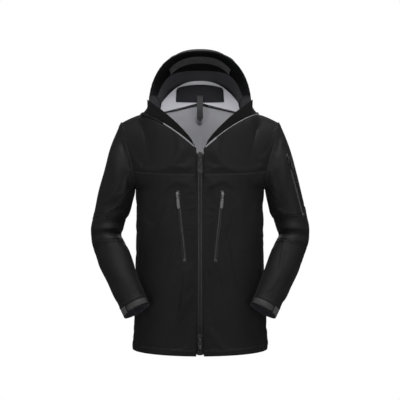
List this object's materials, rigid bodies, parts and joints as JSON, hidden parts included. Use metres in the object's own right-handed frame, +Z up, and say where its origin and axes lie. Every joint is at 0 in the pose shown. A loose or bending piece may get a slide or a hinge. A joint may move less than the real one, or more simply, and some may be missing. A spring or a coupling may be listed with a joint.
{
  "type": "hardshell jacket",
  "caption": "Hooded waterproof shell jacket with a two-way front zip open at the neck, slanted chest pockets, a sleeve pocket and tabbed cuffs.",
  "frame": {"origin": "top end of the hang loop at the inner back neck, where the jacket is hung up", "axes": "+Z up, -Y out of the front, +X to the wearer's left"},
  "size_m": [0.6724, 0.2685, 0.9159],
  "materials": {
    "shell": "matt black woven face fabric",
    "shell_facing": "near-black smooth membrane side",
    "backer": "light grey brushed backer",
    "dark_lining": "dark grey brushed lining",
    "gathered_band": "dark grey gathered tunnel",
    "neck_patch": "charcoal micro fleece",
    "webbing": "dark grey woven tape",
    "zip_tape": "glossy coated zip tape",
    "zip_teeth": "dark glossy teeth",
    "slider_metal": "black enamelled metal",
    "pull": "moulded soft plastic",
    "cuff_tab": "dark grey moulded tab",
    "loop_patch": "dark grey loop tape"
  },
  "bodies": {
    "root": {"back_panel": "shell", "back_yoke": "shell", "back_yoke_lining": "backer", "chest_pocket_bag_left": "backer", "chest_pocket_bag_right": "backer", "chest_zip_coil_left": "zip_teeth", "chest_zip_coil_right": "zip_teeth", "chest_zip_tape_left": "zip_tape", "chest_zip_tape_right": "zip_tape", "chin_collar_left": "shell", "chin_collar_right": "shell", "collar_back": "backer", "elbow_panel_left": "shell", "elbow_panel_right": "shell", "front_panel_left": "shell", "front_panel_right": "shell", "front_yoke_left": "shell", "front_yoke_right": "shell", "front_zip_chain": "zip_teeth", "front_zip_stop": "zip_teeth", "front_zip_tape_left": "zip_tape", "front_zip_tape_right": "zip_tape", "hang_loop": "webbing", "hem_facing": "backer", "hood_skirt": "shell", "neck_patch": "neck_patch", "neckline_facing_left": "backer", "neckline_facing_right": "backer", "side_panel_left": "shell", "side_panel_right": "shell", "sleeve_pocket_bag": "backer", "sleeve_zip_coil": "zip_teeth", "sleeve_zip_tape": "zip_tape", "storm_flap": "backer", "upper_sleeve_left": "shell", "upper_sleeve_right": "shell"},
    "hood": {"hood_crown": "shell", "hood_side_left": "shell", "hood_side_right": "shell", "hood_rim_facing": "shell_facing", "hood_lining": "dark_lining", "hood_adjuster_band": "gathered_band"},
    "forearm_left": {"forearm_left": "shell", "cuff_band_left": "shell", "cuff_loop_patch_left": "loop_patch"},
    "cuff_tab_left": {"cuff_tab_left": "cuff_tab"},
    "chest_slider_left": {"chest_slider_left": "slider_metal"},
    "chest_pull_left": {"chest_pull_left": "pull"},
    "forearm_right": {"forearm_right": "shell", "cuff_band_right": "shell", "cuff_loop_patch_right": "loop_patch"},
    "cuff_tab_right": {"cuff_tab_right": "cuff_tab"},
    "chest_slider_right": {"chest_slider_right": "slider_metal"},
    "chest_pull_right": {"chest_pull_right": "pull"},
    "main_slider": {"main_slider": "slider_metal"},
    "main_pull": {"main_pull": "pull"},
    "lower_slider": {"lower_slider": "slider_metal"},
    "lower_pull": {"lower_pull": "pull"},
    "sleeve_slider": {"sleeve_slider": "slider_metal"},
    "sleeve_pull": {"sleeve_pull": "pull"}
  },
  "joints": [
    {"name": "main_slider_slide", "type": "slide", "parent": "root", "child": "main_slider", "axis": [0, 0, -1], "range_m": [0, 0.26]},
    {"name": "main_pull_swing", "type": "hinge", "parent": "main_slider", "child": "main_pull", "pos_m": [0, -0.2068, -0.206], "axis": [-1, 0, 0], "range_deg": [0, 120]},
    {"name": "lower_slider_slide", "type": "slide", "parent": "root", "child": "lower_slider", "axis": [0, 0, 1], "range_m": [0, 0.16]},
    {"name": "lower_pull_swing", "type": "hinge", "parent": "lower_slider", "child": "lower_pull", "pos_m": [0, -0.2068, -0.74], "axis": [-1, 0, 0], "range_deg": [0, 120]},
    {"name": "chest_slider_slide_left", "type": "slide", "parent": "root", "child": "chest_slider_left", "axis": [-0.1, -0.017, -0.9948], "range_m": [0, 0.178]},
    {"name": "chest_pull_swing_left", "type": "hinge", "parent": "chest_slider_left", "child": "chest_pull_left", "pos_m": [0.06619, -0.20051, -0.31946], "axis": [-0.9792, -0.1759, 0.1014], "range_deg": [0, 120]},
    {"name": "chest_slider_slide_right", "type": "slide", "parent": "root", "child": "chest_slider_right", "axis": [0.1, -0.017, -0.9948], "range_m": [0, 0.178]},
    {"name": "chest_pull_swing_right", "type": "hinge", "parent": "chest_slider_right", "child": "chest_pull_right", "pos_m": [-0.06619, -0.20051, -0.31946], "axis": [-0.9792, 0.1759, -0.1014], "range_deg": [0, 120]},
    {"name": "sleeve_slider_slide", "type": "slide", "parent": "root", "child": "sleeve_slider", "axis": [0.254, -0.0024, -0.9672], "range_m": [0, 0.165]},
    {"name": "sleeve_pull_swing", "type": "hinge", "parent": "sleeve_slider", "child": "sleeve_pull", "pos_m": [0.27178, -0.1323, -0.20473], "axis": [-0.6648, -0.7268, -0.1727], "range_deg": [0, 120]},
    {"name": "hood_tilt", "type": "hinge", "parent": "root", "child": "hood", "pos_m": [0, -0.0132, -0.046], "axis": [-1, 0, 0], "range_deg": [0, 25], "deforming": ["hood_skirt"]},
    {"name": "elbow_bend_left", "type": "hinge", "parent": "root", "child": "forearm_left", "pos_m": [0.288, -0.0892, -0.438], "axis": [-1, 0, 0], "range_deg": [0, 50], "deforming": ["elbow_panel_left"]},
    {"name": "cuff_tab_peel_left", "type": "hinge", "parent": "forearm_left", "child": "cuff_tab_left", "pos_m": [0.15695, -0.20047, -0.62613], "axis": [-0.41, -0.3319, -0.8495], "range_deg": [0, 100]},
    {"name": "elbow_bend_right", "type": "hinge", "parent": "root", "child": "forearm_right", "pos_m": [-0.288, -0.0892, -0.438], "axis": [-1, 0, 0], "range_deg": [0, 50], "deforming": ["elbow_panel_right"]},
    {"name": "cuff_tab_peel_right", "type": "hinge", "parent": "forearm_right", "child": "cuff_tab_right", "pos_m": [-0.15695, -0.20047, -0.62613], "axis": [-0.41, 0.3319, 0.8495], "range_deg": [0, 100]}
  ]
}
